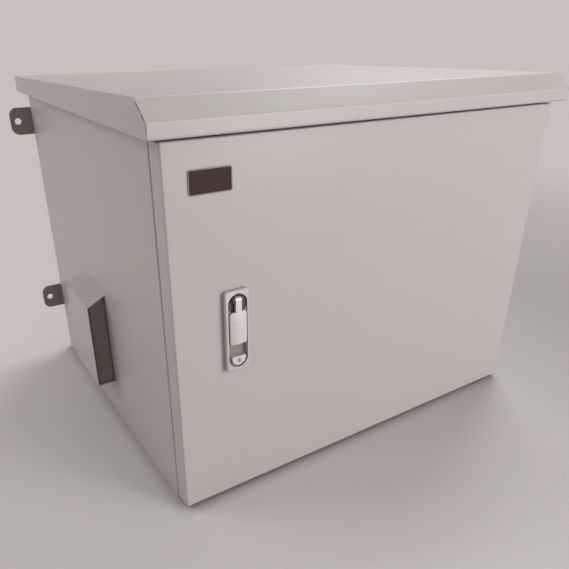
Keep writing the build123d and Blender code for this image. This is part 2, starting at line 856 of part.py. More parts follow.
# Lock body: one casting with a face frame in front of the door and a housing behind it.
# A long pocket with round ends holds the handle above. It is deeper round the handle's pivot
# and below the handle's end, where a fingertip goes and where the button stands.
pocket_radius = pocket_width / 2
pocket_height = lock_height - 2 * pocket_margin
pocket_floor = lock_face + pocket_depth
recess_floor = lock_face + recess_depth
swing_z = lock_z + pocket_height / 2 - pocket_radius
lever_z = swing_z + handle_pivot_up
handle_back = pocket_floor - handle_seat
handle_front = handle_back - handle_thick
lever_y = handle_front + handle_eye
handle_low = lever_z - handle_length
button_z = lock_z - pocket_height / 2 + pocket_radius
button_radius = pocket_radius - button_margin
button_face = lock_face - button_proud
key_z = button_z - key_drop
screw_levels = [lock_z - lock_screw_spread / 2, lock_z + lock_screw_spread / 2]


def button_outline(radius, top):
    """Half disc with a short straight top, as seen from the front."""
    return Circle(radius) & (Pos(0, top - 2 * radius) * Rectangle(4 * radius, 4 * radius))


def make_lock_body():
    flange = lock_place * RectangleRounded(lock_width, lock_height, lock_corner)
    body = along_y(flange, lock_face, lock_proud - lock_pad)
    body = chamfer(body.faces().sort_by(Axis.Y)[0].edges(), lock_bevel)
    housing = lock_place * RectangleRounded(housing_width, housing_height, cut_corner - cut_clear)
    body += along_y(housing, door_front - lock_pad, housing_depth + lock_pad)
    pocket = lock_place * Rot(0, 0, 90) * SlotOverall(pocket_height, pocket_width)
    body -= along_y(pocket, lock_face - past, pocket_depth + past)
    for level in (swing_z, button_z):
        body -= rod(pocket_radius, (lock_x, lock_face - past, level), (0, 1, 0), recess_depth + past)
    body -= block((lock_x - handle_width / 2, lock_face - past, button_z),
                  (lock_x + handle_width / 2, recess_floor, handle_low + well_reach))
    body -= rod(rotor_neck + running, (lock_x, lock_face, swing_z), (0, 1, 0),
                lock_proud + housing_depth + past)
    hole = Pos(lock_x, button_z) * button_outline(button_radius + button_clear, button_top + button_clear)
    body -= along_y(hole, lock_face - past, button_depth + button_travel + blind_clear + past)
    for level in screw_levels:
        body -= rod(lock_screw / 2 + running, (lock_x, housing_rear + past, level), (0, -1, 0),
                    lock_screw_depth + blind_clear + past)
    return body


def make_lock_pad():
    outline = RectangleRounded(lock_width - 2 * pad_inset, lock_height - 2 * pad_inset,
                               lock_corner - pad_inset)
    return along_y(lock_place * outline - lock_cut, door_front - lock_pad, lock_pad)


def make_lock_clamp():
    side = clamp_width / 2
    rear = housing_rear + clamp_sheet
    points = [(lock_x - side, door_inner), (lock_x - side, rear),
              (lock_x + side, rear), (lock_x + side, door_inner)]
    height = housing_height + 2 * clamp_margin
    clamp = Pos(0, 0, lock_z - height / 2) * extrude(folded(points, clamp_sheet), height)
    through = clamp_sheet + 2 * past
    clamp -= rod(rotor_neck + clamp_clear, (lock_x, rear + past, swing_z), (0, -1, 0), through)
    for level in screw_levels:
        clamp -= rod(lock_screw / 2 + shank_clear, (lock_x, rear + past, level), (0, -1, 0), through)
    return clamp


save("lock_body", make_lock_body())
save("lock_pad", make_lock_pad())
save("lock_clamp", make_lock_clamp())
save("lock_screws", *[bolt(lock_screw, (lock_x, housing_rear + clamp_sheet, level), (0, -1, 0),
                           clamp_sheet + lock_screw_depth) for level in screw_levels])


# Lock rotor: a disc with two cheeks for the lever pin, a round neck and a square shank.
tongue_front = rim_back + tongue_clear
tongue_rear = tongue_front + tongue_thick
slot_half = handle_neck / 2 + neck_clear
rotor_radius = pocket_radius - rotor_play


def make_rotor():
    disc_rear = recess_floor - rotor_play
    disc_front = disc_rear - rotor_disc
    rotor = rod(rotor_radius, (lock_x, disc_front, swing_z), (0, 1, 0), rotor_disc)
    rotor += rod(rotor_neck, (lock_x, disc_rear, swing_z), (0, 1, 0), housing_rear - disc_rear)
    shank = Pos(lock_x, swing_z) * Rectangle(square, square)
    rotor += along_y(shank, housing_rear, tongue_rear - housing_rear)
    cheek = slot_half + cheek_thick
    cheeks = rod(cheek_radius, (lock_x - cheek, lever_y, lever_z), (1, 0, 0), 2 * cheek)
    cheeks += block((lock_x - cheek, lever_y, lever_z - cheek_radius),
                    (lock_x + cheek, disc_rear, lever_z + cheek_radius))
    rotor += cheeks
    rotor -= block((lock_x - slot_half, handle_front - past, swing_z - past),
                   (lock_x + slot_half, disc_rear, lever_z + 2 * rotor_radius))
    rotor -= rod(lever_pin / 2 + weld_fit, (lock_x - cheek - past, lever_y, lever_z), (1, 0, 0),
                 2 * cheek + 2 * past)
    return rotor - rod(tongue_thread / 2 + running, (lock_x, tongue_rear + past, swing_z), (0, -1, 0),
                       tongue_grip - tongue_washer + blind_clear + past)


def make_handle():
    """Bar with a crowned front that narrows to a neck with a round eye."""
    bar_high = swing_z - shoulder_drop
    bar = Pos(lock_x, (handle_low + bar_high) / 2) * Rectangle(handle_width, bar_high - handle_low)
    bar = fillet(bar.vertices().group_by(Axis.Y)[0], handle_end_round)
    bar = fillet(bar.vertices().group_by(Axis.Y)[-1], handle_shoulder)
    neck_low = bar_high - neck_lap
    neck = Pos(lock_x, (neck_low + lever_z) / 2) * Rectangle(handle_neck, lever_z - neck_low)
    handle = along_y(bar + neck, handle_front, handle_thick)
    side = handle_width / 2
    left = (lock_x - side, handle_front + handle_crown)
    right = (lock_x + side, handle_front + handle_crown)
    front_arc = ThreePointArc(left, (lock_x, handle_front), right)
    sides = Polyline(right, (lock_x + side, handle_back), (lock_x - side, handle_back), left)
    section = make_face(front_arc.edges() + sides.edges())
    handle &= Pos(0, 0, handle_low) * extrude(section, lever_z - handle_low)
    rim = [edge for edge in handle.edges() if edge.center().Y < handle_front + handle_crown + near
           and edge.center().Z < bar_high]
    handle = fillet(rim, handle_edge)
    eye_start = (lock_x - handle_neck / 2, lever_y, lever_z)
    handle += rod(handle_eye, eye_start, (1, 0, 0), handle_neck)
    return handle - rod(lever_pin / 2 + running, (lock_x - side, lever_y, lever_z), (1, 0, 0), handle_width)


def make_button():
    button = along_y(Pos(lock_x, button_z) * button_outline(button_radius, button_top),
                     button_face, button_depth + button_proud)
    button = fillet(button.faces().sort_by(Axis.Y)[0].edges(), button_round)
    return button - rod(key_radius + running, (lock_x, button_face - past, key_z), (0, 1, 0),
                        button_proud + key_length + past)


def make_key_barrel():
    barrel_body = rod(key_radius, (lock_x, button_face, key_z), (0, 1, 0), key_length + button_proud)
    slit = block((lock_x - key_slit_width / 2, button_face - past, key_z - key_slit_height / 2),
                 (lock_x + key_slit_width / 2, button_face + key_slit_depth, key_z + key_slit_height / 2))
    return barrel_body - slit


def make_tongue():
    low = swing_z - tongue_width / 2
    high = swing_z + tongue_reach
    outline = Pos(lock_x, (low + high) / 2) * Rectangle(tongue_width, high - low)
    outline = fillet(outline.vertices(), tongue_round)
    tongue = along_y(outline, tongue_front, tongue_thick)
    window = Pos(lock_x, swing_z) * Rectangle(square + 2 * running, square + 2 * running)
    return tongue - along_y(window, tongue_front - past, tongue_thick + 2 * past)


save("lock_rotor", make_rotor())
save("lock_handle", make_handle())
pin_half = slot_half + cheek_thick
save("lever_pin", rod(lever_pin / 2, (lock_x - pin_half, lever_y, lever_z), (1, 0, 0), 2 * pin_half))
save("lock_button", make_button())
save("key_barrel", make_key_barrel())
save("lock_tongue", make_tongue())
washer = rod(square, (lock_x, tongue_rear, swing_z), (0, 1, 0), tongue_washer)
save("tongue_screw", washer + bolt(tongue_thread, (lock_x, tongue_rear + tongue_washer, swing_z),
                                   (0, -1, 0), tongue_grip))
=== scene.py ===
import json
import math

import bmesh
import bpy
from mathutils import Matrix, Vector


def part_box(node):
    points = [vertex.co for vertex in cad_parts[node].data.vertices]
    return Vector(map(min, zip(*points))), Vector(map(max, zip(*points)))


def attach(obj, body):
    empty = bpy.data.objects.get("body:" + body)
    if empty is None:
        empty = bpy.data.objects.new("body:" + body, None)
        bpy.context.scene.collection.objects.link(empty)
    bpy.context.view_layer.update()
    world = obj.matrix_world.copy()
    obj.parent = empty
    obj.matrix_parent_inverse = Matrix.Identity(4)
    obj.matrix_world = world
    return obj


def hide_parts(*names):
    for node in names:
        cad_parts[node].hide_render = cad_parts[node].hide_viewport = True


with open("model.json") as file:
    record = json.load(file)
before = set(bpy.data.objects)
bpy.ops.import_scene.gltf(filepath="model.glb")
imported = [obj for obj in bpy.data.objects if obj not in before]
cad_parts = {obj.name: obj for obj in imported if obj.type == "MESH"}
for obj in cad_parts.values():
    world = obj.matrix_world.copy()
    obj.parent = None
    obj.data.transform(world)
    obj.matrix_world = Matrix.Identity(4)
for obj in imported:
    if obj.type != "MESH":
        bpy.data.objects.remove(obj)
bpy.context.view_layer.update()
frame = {"nodes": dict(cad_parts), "record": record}
nodes = frame["nodes"]


# Body: wrap, top panel and bottom panel
# Mild steel sheet, 1.5 mm thick, folded on a press brake and welded into a box.
# It is powder coated in a light beige grey, semi-gloss, with a fine orange peel.
def feed(tree, value, socket):
    """Join a socket to another node's socket, or set it to a plain number or colour."""
    if isinstance(value, bpy.types.NodeSocket):
        tree.links.new(value, socket)
    else:
        socket.default_value = value


def add(tree, kind, **settings):
    """Shader node with its settings, and its sockets fed under their own names."""
    node = tree.nodes.new(kind)
    for name, value in settings.items():
        if hasattr(node, name):
            setattr(node, name, value)
        else:
            feed(tree, value, node.inputs[name.replace("_", " ")])
    return node


def noise(tree, place, **settings):
    return add(tree, "ShaderNodeTexNoise", Vector=place, **settings).outputs["Fac"]


def calculate(tree, operation, *terms, **settings):
    """Result of a math node whose terms are sockets or plain numbers."""
    node = add(tree, "ShaderNodeMath", operation=operation, **settings)
    for term, socket in zip(terms, node.inputs):
        feed(tree, term, socket)
    return node.outputs["Value"]


def ramp(tree, value, low, high, **settings):
    """0 to 1 as a value runs from low to high, or other ends where the settings give them."""
    node = add(tree, "ShaderNodeMapRange", Value=value, From_Min=low, From_Max=high, **settings)
    return node.outputs["Result"]


def shade_between(tree, factor, dark, light):
    """Colour that runs from dark to light with a factor."""
    mix = add(tree, "ShaderNodeMix", data_type="RGBA", Factor=factor)
    feed(tree, dark, mix.inputs[6])
    feed(tree, light, mix.inputs[7])
    return mix.outputs[2]


def tinted(tree, colour, value, saturation):
    """A colour made lighter or darker, and more or less vivid."""
    node = add(tree, "ShaderNodeHueSaturation", Color=colour, Value=value, Saturation=saturation)
    return node.outputs["Color"]


def relief(tree, height, distance, **settings):
    """Normal of a surface that rises and falls with a height, over a distance in metres."""
    node = add(tree, "ShaderNodeBump", Strength=1.0, Height=height, Distance=distance, **settings)
    return node.outputs["Normal"]


def new_group(name, **inlets):
    """Empty node group of a finish: its tree, the sockets of its inlets, and those of its three outlets."""
    tree = bpy.data.node_groups.new(name, "ShaderNodeTree")
    for label, value in inlets.items():
        kind = "Float" if isinstance(value, float) else {3: "Vector", 4: "Color"}[len(value)]
        socket = tree.interface.new_socket(name=label, in_out="INPUT", socket_type="NodeSocket" + kind)
        socket.default_value = value
    for label, kind in (("Color", "Color"), ("Roughness", "Float"), ("Normal", "Vector")):
        tree.interface.new_socket(name=label, in_out="OUTPUT", socket_type="NodeSocket" + kind)
    return tree, tree.nodes.new("NodeGroupInput").outputs, tree.nodes.new("NodeGroupOutput").inputs


def new_material(name, metallic=0.0):
    """Material with its node tree and its shader."""
    material = bpy.data.materials.new(name)
    material.use_nodes = True
    shader = material.node_tree.nodes["Principled BSDF"]
    shader.inputs["Metallic"].default_value = metallic
    return material, material.node_tree, shader


def make_finish(name, group, metallic=0.0, **values):
    """Material whose colour, roughness and relief come from a group with the material's own values."""
    material, tree, shader = new_material(name, metallic)
    finish = add(tree, "ShaderNodeGroup", node_tree=group, **values)
    for outlet, inlet in (("Color", "Base Color"), ("Roughness", "Roughness"), ("Normal", "Normal")):
        tree.links.new(finish.outputs[outlet], shader.inputs[inlet])
    return material


dust_colour = (0.56, 0.53, 0.49, 1)


def make_powder_coat():
    """Powder coat: slow drift of shade, dust on what faces up, orange peel and the sheet's waves."""
    tree, enter, leave = new_group("powder_coat", Paint=(0.5, 0.5, 0.5, 1), Dust=0.1, Gloss=0.36,
                                   Wave=0.0006)
    place = add(tree, "ShaderNodeTexCoord").outputs["Object"]
    drift = noise(tree, place, Scale=3.0, Detail=3.0, Roughness=0.55)
    peel = noise(tree, place, Scale=900.0, Detail=1.0, Roughness=0.4)
    waves = noise(tree, place, Scale=4.2, Detail=1.0, Roughness=0.4)
    specks = noise(tree, place, Scale=14.0, Detail=3.0, Roughness=0.5)
    darker = tinted(tree, enter["Paint"], value=0.955, saturation=1.06)
    coat = shade_between(tree, drift, darker, enter["Paint"])
    normal = add(tree, "ShaderNodeNewGeometry").outputs["Normal"]
    facing = add(tree, "ShaderNodeSeparateXYZ", Vector=normal).outputs["Z"]
    upward = ramp(tree, facing, 0.9, 0.995, interpolation_type="SMOOTHSTEP")
    spread = ramp(tree, specks, 0.38, 0.68, To_Min=0.6, To_Max=1.0)
    dust = calculate(tree, "MULTIPLY", calculate(tree, "MULTIPLY", upward, spread), enter["Dust"])
    sheen = calculate(tree, "MULTIPLY_ADD", drift, 0.08, enter["Gloss"])
    dulled = calculate(tree, "MULTIPLY_ADD", dust, 0.6, sheen, use_clamp=True)
    wavy = relief(tree, waves, enter["Wave"])
    feed(tree, shade_between(tree, dust, coat, dust_colour), leave["Color"])
    feed(tree, dulled, leave["Roughness"])
    feed(tree, relief(tree, peel, 0.00003, Normal=wavy), leave["Normal"])
    return tree


powder_coat = make_powder_coat()
shell_paint = make_finish("shell_paint", powder_coat, Paint=(0.472, 0.446, 0.424, 1), Dust=0.08, Gloss=0.33,
                          Wave=0.0005)
body_of = {node: body for body, held in frame["record"]["behaviour"]["bodies"].items() for node in held}


def select_only(*pieces):
    """Deselect all, then select these pieces, the first as the active one."""
    bpy.ops.object.select_all(action="DESELECT")
    for piece in pieces:
        piece.select_set(True)
    if pieces:
        bpy.context.view_layer.objects.active = pieces[0]


same_point = 0.00001


def copy_of(node):
    """Copy of a CAD node's mesh, alone selected, with its loose triangles merged into whole faces."""
    piece = bpy.data.objects.new(node, nodes[node].data.copy())
    piece.data.materials.clear()
    bpy.context.collection.objects.link(piece)
    select_only(piece)
    bpy.ops.object.mode_set(mode="EDIT")
    bpy.ops.mesh.select_all(action="SELECT")
    bpy.ops.mesh.remove_doubles(threshold=same_point)
    bpy.ops.mesh.dissolve_limited(angle_limit=math.radians(0.6))
    bpy.ops.object.mode_set(mode="OBJECT")
    return piece


def apply_modifier(piece, kind, **settings):
    """Modifier with its settings, applied to the mesh."""
    bpy.ops.object.modifier_add(type=kind)
    modifier = piece.modifiers[-1]
    for name, value in settings.items():
        setattr(modifier, name, value)
    bpy.ops.object.modifier_apply(modifier=modifier.name)


def finish_piece(piece, name, material, body, stands_for=()):
    """Settle the selected piece's place into its mesh, smooth it, and give it finish, body and nodes."""
    bpy.ops.object.transform_apply(location=True, rotation=True, scale=True)
    bpy.ops.object.shade_smooth_by_angle(angle=math.radians(40))
    piece.name = name
    piece.data.materials.append(material)
    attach(piece, body)
    if stands_for:
        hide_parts(*stands_for)
    return piece


def break_edges(node, material, width=0.0003, segments=3):
    """Stand-in for a CAD node whose sharp edges are broken as folding, casting or paint leaves them."""
    piece = copy_of(node)
    apply_modifier(piece, "BEVEL", width=width, segments=segments, limit_method="ANGLE",
                   angle_limit=math.radians(30), miter_outer="MITER_ARC", use_clamp_overlap=True)
    finish_piece(piece, node + "_made", material, body_of[node], [node])
    apply_modifier(piece, "WEIGHTED_NORMAL", keep_sharp=True, weight=60)
    return piece


for node in ("body_shell", "top_panel", "bottom_panel"):
    break_edges(node, shell_paint, segments=2)


# Rain hood with its bosses
# One sheet folded down on all four sides. Its corners are open seams, held by short tack welds,
# and the whole hood is powder coated after welding. Four threaded bosses are welded under it.
def model_weld(start, end, width, proud, ripple):
    """Rippled weld bead between two points of a seam: a disc extruded ripple by ripple, then flattened."""
    end_width = 0.35
    ripples_to_full = 1.2
    run = Vector(end) - Vector(start)
    ripples = max(3, round(run.length / ripple))
    step = run.length / ripples
    select_only()
    bpy.ops.mesh.primitive_circle_add(vertices=10, radius=width / 2, fill_type="NGON")
    bead = bpy.context.object
    bpy.ops.object.mode_set(mode="EDIT")
    bpy.ops.mesh.select_all(action="SELECT")
    bpy.ops.transform.resize(value=(end_width, end_width, 1))
    size = end_width
    for index in range(ripples):
        for share, swell in ((0.6, 1.0), (0.4, 0.86)):
            from_end = min(index + share, ripples - index - share, ripples_to_full)
            wanted = max(end_width, swell * math.sqrt(max(from_end / ripples_to_full, 0.1)))
            bpy.ops.mesh.extrude_region_move(TRANSFORM_OT_translate={"value": (0, 0, share * step)})
            bpy.ops.transform.resize(value=(wanted / size, wanted / size, 1))
            size = wanted
    bpy.ops.mesh.select_all(action="SELECT")
    bpy.ops.mesh.normals_make_consistent(inside=False)
    bpy.ops.object.mode_set(mode="OBJECT")
    outward = Vector((1 if start[0] > 0 else -1, 0, 0))
    along = run.normalized()
    across = along.cross(outward).normalized()
    turn = Matrix((outward, across, along)).transposed().to_4x4()
    bead.matrix_world = Matrix.Translation(start) @ turn @ Matrix.Diagonal((2 * proud / width, 1, 1, 1))
    bpy.ops.object.transform_apply(location=True, rotation=True, scale=True)
    return bead


def join_pieces(pieces):
    """One selected object from several pieces of one body."""
    select_only(*pieces)
    if len(pieces) > 1:
        bpy.ops.object.join()
    return pieces[0]


tack_length = 0.0044
tack_width = 0.0044
tack_proud = 0.0007
tack_ripple = 0.0011


def model_tack(middle, along):
    """Tack weld on a seam, half of its length to each side of a point."""
    reach = Vector(along) * tack_length / 2
    return model_weld(Vector(middle) - reach, Vector(middle) + reach, tack_width, tack_proud, tack_ripple)


sheet = 0.0015
hood_seam = 0.0018
hood_lip = 0.0162
chamfer_run = 0.0235
chamfer_rise = 0.019
break_edges("roof_hood", shell_paint)
hood_low, hood_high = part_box("roof_hood")
inset = sheet + hood_seam / 2
slope = math.atan2(chamfer_rise, chamfer_run)
crease_y = hood_low.y + inset
crease_z = hood_low.z + hood_lip - inset * math.tan(slope / 2)
tacks = []
for side in (hood_low.x, hood_high.x):
    for share in (0.3, 0.98):
        z = hood_low.z + share * (crease_z - hood_low.z)
        tacks.append(model_tack((side, crease_y, z), (0, 0, 1)))
    for share in (0.4, 0.86):
        y = crease_y + share * chamfer_run
        z = crease_z + share * chamfer_rise
        tacks.append(model_tack((side, y, z), (0, math.cos(slope), math.sin(slope))))
finish_piece(join_pieces(tacks), "hood_tack_welds", shell_paint, "cabinet")
break_edges("roof_bosses", shell_paint, width=0.0004)


# Vent hoods and their filters
# Folded covers welded over the slots in the side walls, open at the front and rear ends.
# A mat of dark open-cell foam fills each one and keeps dust and insects out.
foam_shadow = (0.045, 0.035, 0.030, 1)
foam_light = (0.42, 0.345, 0.305, 1)
cell_depth = 0.0008


def make_foam():
    material, tree, shader = new_material("filter_foam")
    place = add(tree, "ShaderNodeTexCoord").outputs["Object"]
    cells = add(tree, "ShaderNodeTexVoronoi", Vector=place, Scale=900.0).outputs["Distance"]
    feed(tree, shade_between(tree, cells, foam_shadow, foam_light), shader.inputs["Base Color"])
    feed(tree, relief(tree, cells, cell_depth), shader.inputs["Normal"])
    shader.inputs["Roughness"].default_value = 0.95
    return material


filter_foam = make_foam()
foam_grain = bpy.data.textures.new("foam_grain", "CLOUDS")
foam_grain.noise_scale = 0.0035
foam_grain.noise_depth = 2
foam_voxel = 0.0016
foam_dents = 0.0022
vent_weld_width = 0.0032
vent_weld_proud = 0.0012
vent_weld_ripple = 0.0022
vent_weld_lift = 0.0004
vent_weld_end = 0.001
for side in ("left", "right"):
    hood = f"vent_hood_{side}"
    break_edges(hood, shell_paint)
    low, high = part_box(hood)
    joint = high.x if side == "left" else low.x
    beads = [model_weld((joint, low.y + vent_weld_end, z), (joint, high.y - vent_weld_end, z),
                        vent_weld_width, vent_weld_proud, vent_weld_ripple)
             for z in (low.z + vent_weld_lift, high.z - vent_weld_lift)]
    finish_piece(join_pieces(beads), f"vent_welds_{side}", shell_paint, "cabinet")
    mat = copy_of(f"vent_filter_{side}")
    apply_modifier(mat, "REMESH", mode="VOXEL", voxel_size=foam_voxel)
    apply_modifier(mat, "DISPLACE", texture=foam_grain, strength=foam_dents, mid_level=1.0)
    finish_piece(mat, f"foam_mat_{side}", filter_foam, "cabinet", [f"vent_filter_{side}"])


# Fan behind the right vent hood
# Square frame with a round duct and a bladed rotor on a short axle, both moulded in black plastic
# with a fine grain. The frame stands against the right wall, round the opening.
def make_moulded():
    """Moulded plastic or rubber: fine spark-eroded grain and a slow drift of shade."""
    tree, enter, leave = new_group("moulded", Tone=(0.02, 0.02, 0.02, 1), Grain=1200.0, Depth=0.00005,
                                   Matt=0.5)
    place = add(tree, "ShaderNodeTexCoord").outputs["Object"]
    grain = noise(tree, place, Scale=enter["Grain"], Detail=3.0)
    drift = noise(tree, place, Scale=12.0, Detail=4.0)
    paler = tinted(tree, enter["Tone"], value=1.5, saturation=0.9)
    matt = calculate(tree, "MULTIPLY_ADD", drift, 0.2, enter["Matt"], use_clamp=True)
    feed(tree, shade_between(tree, drift, enter["Tone"], paler), leave["Color"])
    feed(tree, matt, leave["Roughness"])
    feed(tree, relief(tree, grain, enter["Depth"]), leave["Normal"])
    return tree


moulded = make_moulded()
fan_plastic = make_finish("fan_plastic", moulded, Tone=(0.012, 0.012, 0.013, 1), Grain=1500.0, Depth=0.00004,
                          Matt=0.38)
break_edges("fan_frame", fan_plastic, width=0.0006)
break_edges("fan_rotor", fan_plastic, segments=2)


# Fan guard
# Plated steel wire: rings spot-welded on two crossing wires, with an eye for each of the four screws.
# It keeps fingers and cables out of the fan on the side towards the inside.
def make_plated_metal():
    """Plated or bare metal: lines drawn one way, patchy gloss and a faint stain."""
    tree, enter, leave = new_group("plated", Metal=(0.6, 0.6, 0.6, 1), Stretch=(1, 1, 1), Lines=0.00002,
                                   Matt=0.3)
    place = add(tree, "ShaderNodeTexCoord").outputs["Object"]
    drawn = add(tree, "ShaderNodeVectorMath", operation="MULTIPLY")
    feed(tree, place, drawn.inputs[0])
    feed(tree, enter["Stretch"], drawn.inputs[1])
    lines = noise(tree, drawn.outputs["Vector"], Scale=90.0, Detail=3.0)
    patches = noise(tree, place, Scale=35.0, Detail=4.0, Roughness=0.6)
    stained = tinted(tree, enter["Metal"], value=0.72, saturation=1.1)
    matt = calculate(tree, "MULTIPLY_ADD", lines, 0.18, enter["Matt"], use_clamp=True)
    feed(tree, shade_between(tree, patches, stained, enter["Metal"]), leave["Color"])
    feed(tree, matt, leave["Roughness"])
    feed(tree, relief(tree, lines, enter["Lines"]), leave["Normal"])
    return tree


plated_metal = make_plated_metal()


def make_plated(name, metal, lines, matt, stretch=(1, 1, 1)):
    return make_finish(name, plated_metal, metallic=1.0, Metal=metal, Stretch=stretch, Lines=lines,
                       Matt=matt)


def turned_profile(points, steps=30):
    """Solid of revolution about Z: a line of (radius, height) points spun full circle and closed."""
    select_only()
    bpy.ops.mesh.primitive_plane_add(size=0.01)
    turned = bpy.context.object
    bpy.ops.object.mode_set(mode="EDIT")
    bpy.ops.mesh.select_all(action="SELECT")
    bpy.ops.mesh.delete(type="VERT")
    shape = bmesh.from_edit_mesh(turned.data)
    line = [shape.verts.new((radius, 0, height)) for radius, height in points]
    for first, second in zip(line, line[1:]):
        shape.edges.new((first, second))
    bmesh.update_edit_mesh(turned.data)
    bpy.ops.mesh.select_all(action="SELECT")
    bpy.ops.mesh.spin(steps=steps, angle=2 * math.pi, center=(0, 0, 0), axis=(0, 0, 1))
    bpy.ops.mesh.select_all(action="SELECT")
    bpy.ops.mesh.remove_doubles(threshold=same_point / 2)
    bpy.ops.mesh.fill_holes(sides=40)
    bpy.ops.mesh.select_all(action="SELECT")
    bpy.ops.mesh.normals_make_consistent(inside=False)
    bpy.ops.object.mode_set(mode="OBJECT")
    return turned


def wire_ring(radius, wire, squash=1.0):
    """Closed ring of round wire about Z, pressed flatter where squash is under 1."""
    around = [math.radians(angle) for angle in range(0, 361, 45)]
    line = [(radius + wire / 2 * math.cos(angle), squash * wire / 2 * math.sin(angle)) for angle in around]
    return turned_profile(line, steps=72)


def straight_wire(length, wire):
    """Round wire along X with blunted ends: a short bar whose end faces are inset."""
    select_only()
    bpy.ops.mesh.primitive_cylinder_add(vertices=12, radius=wire / 2, depth=length - wire / 2)
    bar = bpy.context.object
    bpy.ops.object.mode_set(mode="EDIT")
    bpy.ops.mesh.select_all(action="DESELECT")
    shape = bmesh.from_edit_mesh(bar.data)
    for face in shape.faces:
        face.select_set(abs(face.normal.z) > 0.9)
    bmesh.update_edit_mesh(bar.data)
    bpy.ops.mesh.inset(thickness=wire * 0.15)
    bpy.ops.object.mode_set(mode="OBJECT")
    bpy.ops.transform.rotate(value=math.pi / 2, orient_axis="Y", center_override=(0, 0, 0))
    bpy.ops.object.transform_apply(rotation=True, location=True)
    return bar


def copy_at(master, place):
    """Copy of a modelled part with a mesh of its own, moved to its place by a matrix."""
    copy = bpy.data.objects.new(master.name, master.data.copy())
    bpy.context.collection.objects.link(copy)
    copy.data.transform(place)
    return copy


guard_plating = make_plated("guard_plating", (0.62, 0.62, 0.63, 1), lines=0.00001, matt=0.14)
guard_low, guard_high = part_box("fan_guard")
guard_wire = guard_high.x - guard_low.x
guard_outer = 0.0385
hole_pitch = 0.0715
screw_size = 0.004
eye_gap = 0.0002
guard_parts = [wire_ring(guard_outer - guard_wire / 2, guard_wire)]
guard_parts += [wire_ring((guard_outer - guard_wire) * share, guard_wire) for share in (0.25, 0.5, 0.75)]
crossing = straight_wire(hole_pitch * math.sqrt(2) - 2 * screw_size, guard_wire)
guard_parts += [copy_at(crossing, Matrix.Rotation(math.radians(angle), 4, "Z")) for angle in (45, 135)]
bpy.data.objects.remove(crossing)
eye = wire_ring(screw_size - guard_wire / 2 + eye_gap, guard_wire, squash=0.9)
guard_parts += [copy_at(eye, Matrix.Translation((across, up, 0)))
                for across in (-hole_pitch / 2, hole_pitch / 2) for up in (-hole_pitch / 2, hole_pitch / 2)]
bpy.data.objects.remove(eye)
onto_fan = Matrix.Translation((guard_low + guard_high) / 2) @ Matrix.Rotation(math.pi / 2, 4, "Y")
for part in guard_parts:
    part.data.transform(onto_fan)
finish_piece(join_pieces(guard_parts), "guard_wires", guard_plating, "cabinet", ["fan_guard"])


# Fan screws and hood bolts
# Zinc-plated steel hexagon bolts with rolled threads. The screws go from the inside through the guard
# and the fan into the wall, and the bolts from the inside through the top panel into the hood's bosses.
def parts_of(node):
    """Lowest and highest corner of each loose part of a CAD node, in order of place."""
    mesh = bmesh.new()
    mesh.from_mesh(nodes[node].data)
    bmesh.ops.remove_doubles(mesh, verts=mesh.verts, dist=same_point)
    left = set(mesh.verts)
    corners = []
    while left:
        group = [left.pop()]
        for vertex in group:
            for edge in vertex.link_edges:
                other = edge.other_vert(vertex)
                if other in left:
                    left.remove(other)
                    group.append(other)
        points = list(zip(*[vertex.co for vertex in group]))
        corners.append((Vector([min(axis) for axis in points]), Vector([max(axis) for axis in points])))
    mesh.free()
    return sorted(corners, key=lambda pair: tuple(round(value, 5) for value in pair[0]))


def size_along(node, outward):
    """Length of a CAD node's first part along its axis, and its least width across it."""
    axis = max(range(3), key=lambda index: abs(outward[index]))
    low, high = parts_of(node)[0]
    size = high - low
    return size[axis], min(size[index] for index in range(3) if index != axis)


def threaded(radius, start, end):
    """Profile points of a thread: crests and roots one after the other, with a chamfered end."""
    pitch = radius * 0.32
    root = radius * 0.86
    points = []
    for turn in range(max(2, int((end - start - pitch) / pitch))):
        points += [(radius, start + (turn + 0.25) * pitch), (root, start + (turn + 0.75) * pitch)]
    return points + [(radius, end - pitch), (radius * 0.8, end)]


def hexagon_prism(flats, height):
    """Hexagon bar with one end turned to a chamfer: a prism cut to a cone's outline."""
    wide = flats * 0.7
    cone = turned_profile([(0, 0), (wide, 0), (wide, height * 0.78), (flats * 0.47, height), (0, height)])
    select_only()
    bpy.ops.mesh.primitive_cylinder_add(vertices=6, radius=flats / math.sqrt(3), depth=height,
                                        location=(0, 0, height / 2))
    prism = bpy.context.object
    bpy.ops.object.transform_apply(location=True)
    apply_modifier(prism, "BOOLEAN", operation="INTERSECT", object=cone, solver="EXACT")
    bpy.data.objects.remove(cone)
    return prism


def model_bolt(thread, head, flats, length):
    """Hexagon bolt along Z: chamfered head below the origin's plane, threaded shank above it."""
    prism = hexagon_prism(flats, head)
    bpy.ops.transform.rotate(value=math.pi, orient_axis="X", center_override=(0, 0, 0))
    bpy.ops.object.transform_apply(rotation=True, location=True)
    radius = thread / 2
    overlap = 0.0001
    shank = turned_profile([(0, -overlap), (radius, -overlap)] + threaded(radius, 0, length) + [(0, length)])
    return join_pieces([prism, shank])


def set_fasteners(node, master, outward, material, mirrored=False):
    """Copies of one modelled fastener at the place of each of a CAD node's parts, as one piece.
    Mirrored ones point the other way where x is positive."""
    head = -min(vertex.co.z for vertex in master.data.vertices)
    placed = []
    for low, high in parts_of(node):
        middle = (low + high) / 2
        way = -Vector(outward) if mirrored and middle.x > 0 else Vector(outward)
        axis = max(range(3), key=lambda index: abs(way[index]))
        middle[axis] = low[axis] + head if way[axis] > 0 else high[axis] - head
        turn = Vector((0, 0, 1)).rotation_difference(way).to_matrix().to_4x4()
        placed.append(copy_at(master, Matrix.Translation(middle) @ turn))
    bpy.data.objects.remove(master)
    return finish_piece(join_pieces(placed), node + "_made", material, body_of[node], [node])


